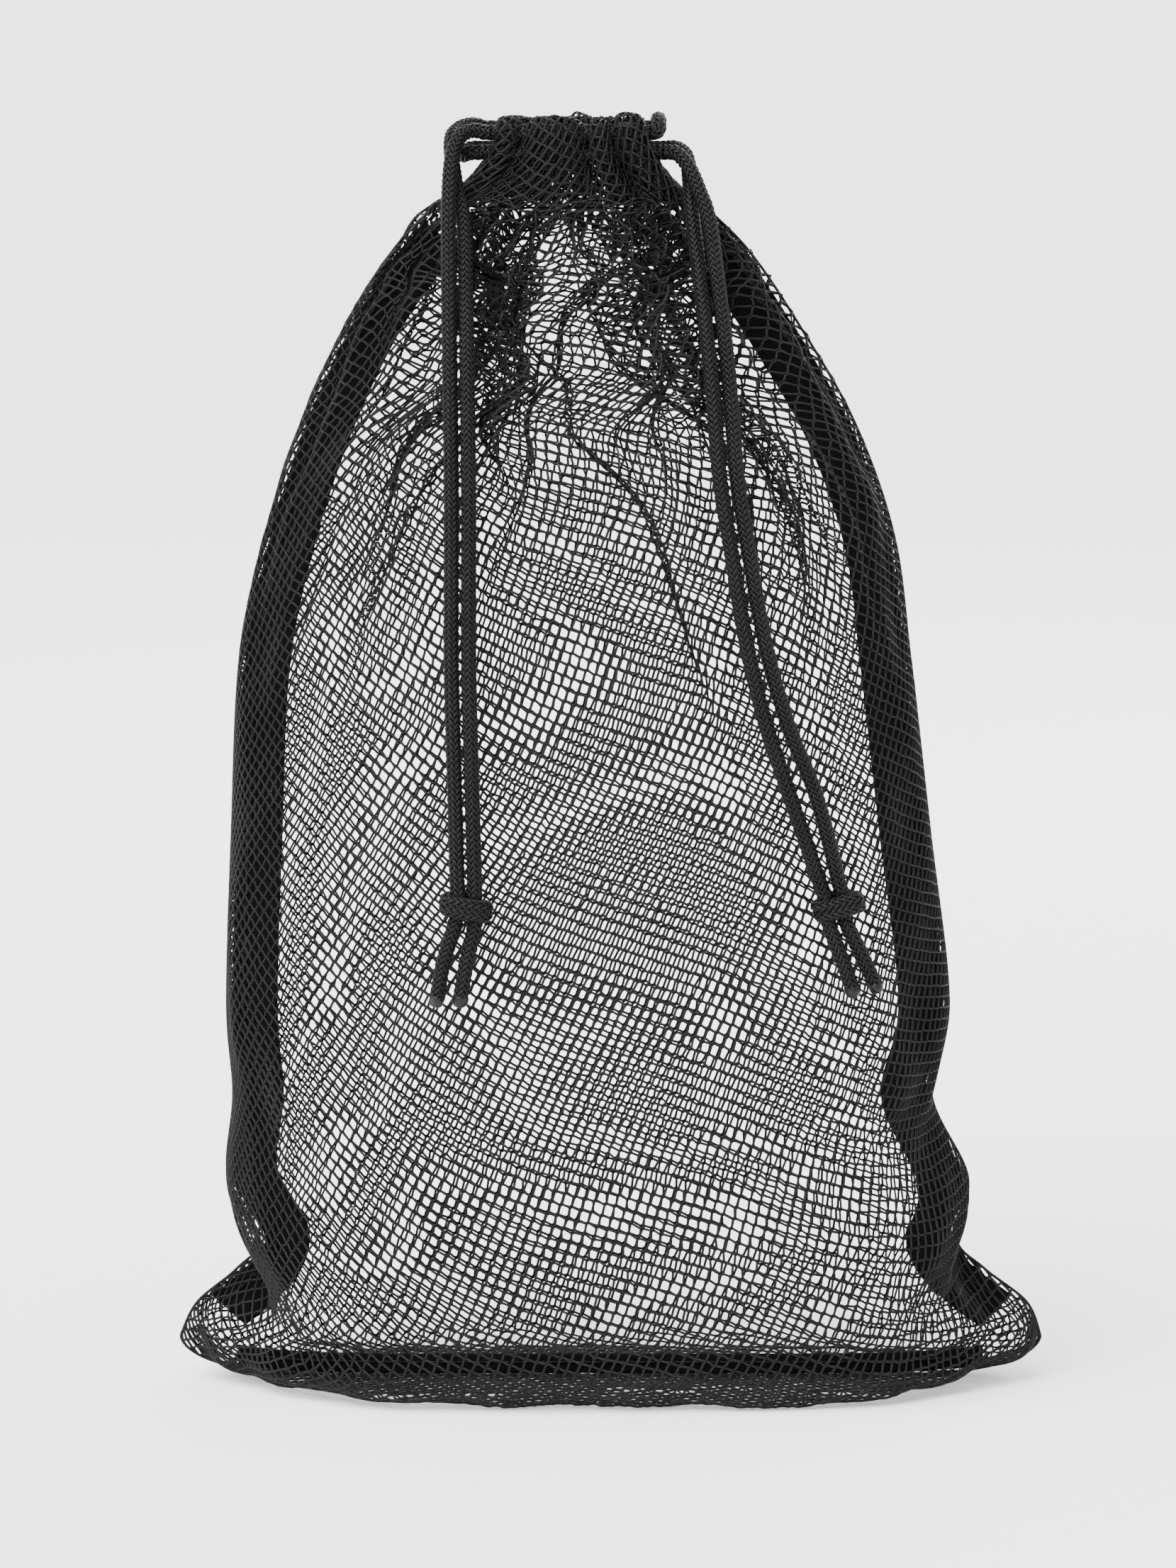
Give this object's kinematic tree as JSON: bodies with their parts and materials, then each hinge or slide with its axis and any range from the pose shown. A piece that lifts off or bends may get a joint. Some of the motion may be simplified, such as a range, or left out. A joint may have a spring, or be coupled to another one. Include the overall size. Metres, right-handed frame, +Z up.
{
  "type": "drawstring mesh ball bag",
  "caption": "Drawstring net bag that stands filled on its base, its gathered mouth drawn nearly shut and a knotted cord loop hanging at each side.",
  "frame": {"origin": "middle of the base, on the ground", "axes": "+Z up, -Y the front, where the cords hang; +X to the right as seen from the front"},
  "size_m": [0.304, 0.1591, 0.4495],
  "materials": {
    "net": "warp-knitted polyester net of twisted black threads, slight sheen",
    "tape": "matt black woven seam tape with a fine diagonal rib",
    "thread": "black polyester sewing thread",
    "cord": "round braided black polyester cord with a herringbone surface",
    "sealed_end": "heat-sealed cord end, hard and slightly glossy"
  },
  "bodies": {
    "bag": {"front_net_panel": "net", "back_net_panel": "net", "left_side_tape": "tape", "right_side_tape": "tape", "bottom_seam_tape": "tape", "left_side_stitching": "thread", "right_side_stitching": "thread", "bottom_seam_stitching": "thread", "left_cord_bend": "cord", "right_cord_bend": "cord"},
    "front_lip": {"front_casing": "net", "front_casing_stitching": "thread", "left_cord_front_run": "cord", "right_cord_front_run": "cord"},
    "back_lip": {"back_casing": "net", "back_casing_stitching": "thread", "left_cord_back_run": "cord", "right_cord_back_run": "cord"},
    "left_cord": {"left_cord_front_strand": "cord", "left_cord_back_strand": "cord"},
    "right_cord": {"right_cord_front_strand": "cord", "right_cord_back_strand": "cord"},
    "left_cord_end": {"left_knot": "cord", "left_cord_front_tail": "cord", "left_cord_back_tail": "cord", "left_cord_front_tip": "sealed_end", "left_cord_back_tip": "sealed_end"},
    "right_cord_end": {"right_knot": "cord", "right_cord_front_tail": "cord", "right_cord_back_tail": "cord", "right_cord_front_tip": "sealed_end", "right_cord_back_tip": "sealed_end"}
  },
  "joints": [
    {"name": "front_lip_tilt", "type": "hinge", "parent": "bag", "child": "front_lip", "pos_m": [-0.014, -0.0225, 0.4162], "axis": [1, 0, 0], "range_deg": [0, 35], "deforming": ["left_cord_bend", "right_cord_bend"]},
    {"name": "back_lip_tilt", "type": "hinge", "parent": "bag", "child": "back_lip", "pos_m": [-0.014, 0.0225, 0.4162], "axis": [-1, 0, 0], "range_deg": [0, 35]},
    {"name": "left_cord_swing", "type": "hinge", "parent": "bag", "child": "left_cord", "pos_m": [-0.0435, 0, 0.4451], "axis": [0, 1, 0], "range_deg": [0, 95]},
    {"name": "right_cord_swing", "type": "hinge", "parent": "bag", "child": "right_cord", "pos_m": [0.0183, 0, 0.4381], "axis": [0, -1, 0], "range_deg": [0, 90]},
    {"name": "left_cord_draw", "type": "slide", "parent": "left_cord", "child": "left_cord_end", "axis": [0, 0, 1], "range_m": [0, 0.037], "deforming": ["left_cord_front_strand", "left_cord_back_strand"]},
    {"name": "right_cord_draw", "type": "slide", "parent": "right_cord", "child": "right_cord_end", "axis": [0, 0, 1], "range_m": [0, 0.037], "deforming": ["right_cord_front_strand", "right_cord_back_strand"]}
  ],
  "couplings": [
    {"joint": "back_lip_tilt", "follows": "front_lip_tilt", "ratio": 1},
    {"joint": "left_cord_draw", "follows": "front_lip_tilt", "m_per_rad": 0.06},
    {"joint": "right_cord_draw", "follows": "front_lip_tilt", "m_per_rad": 0.06}
  ]
}
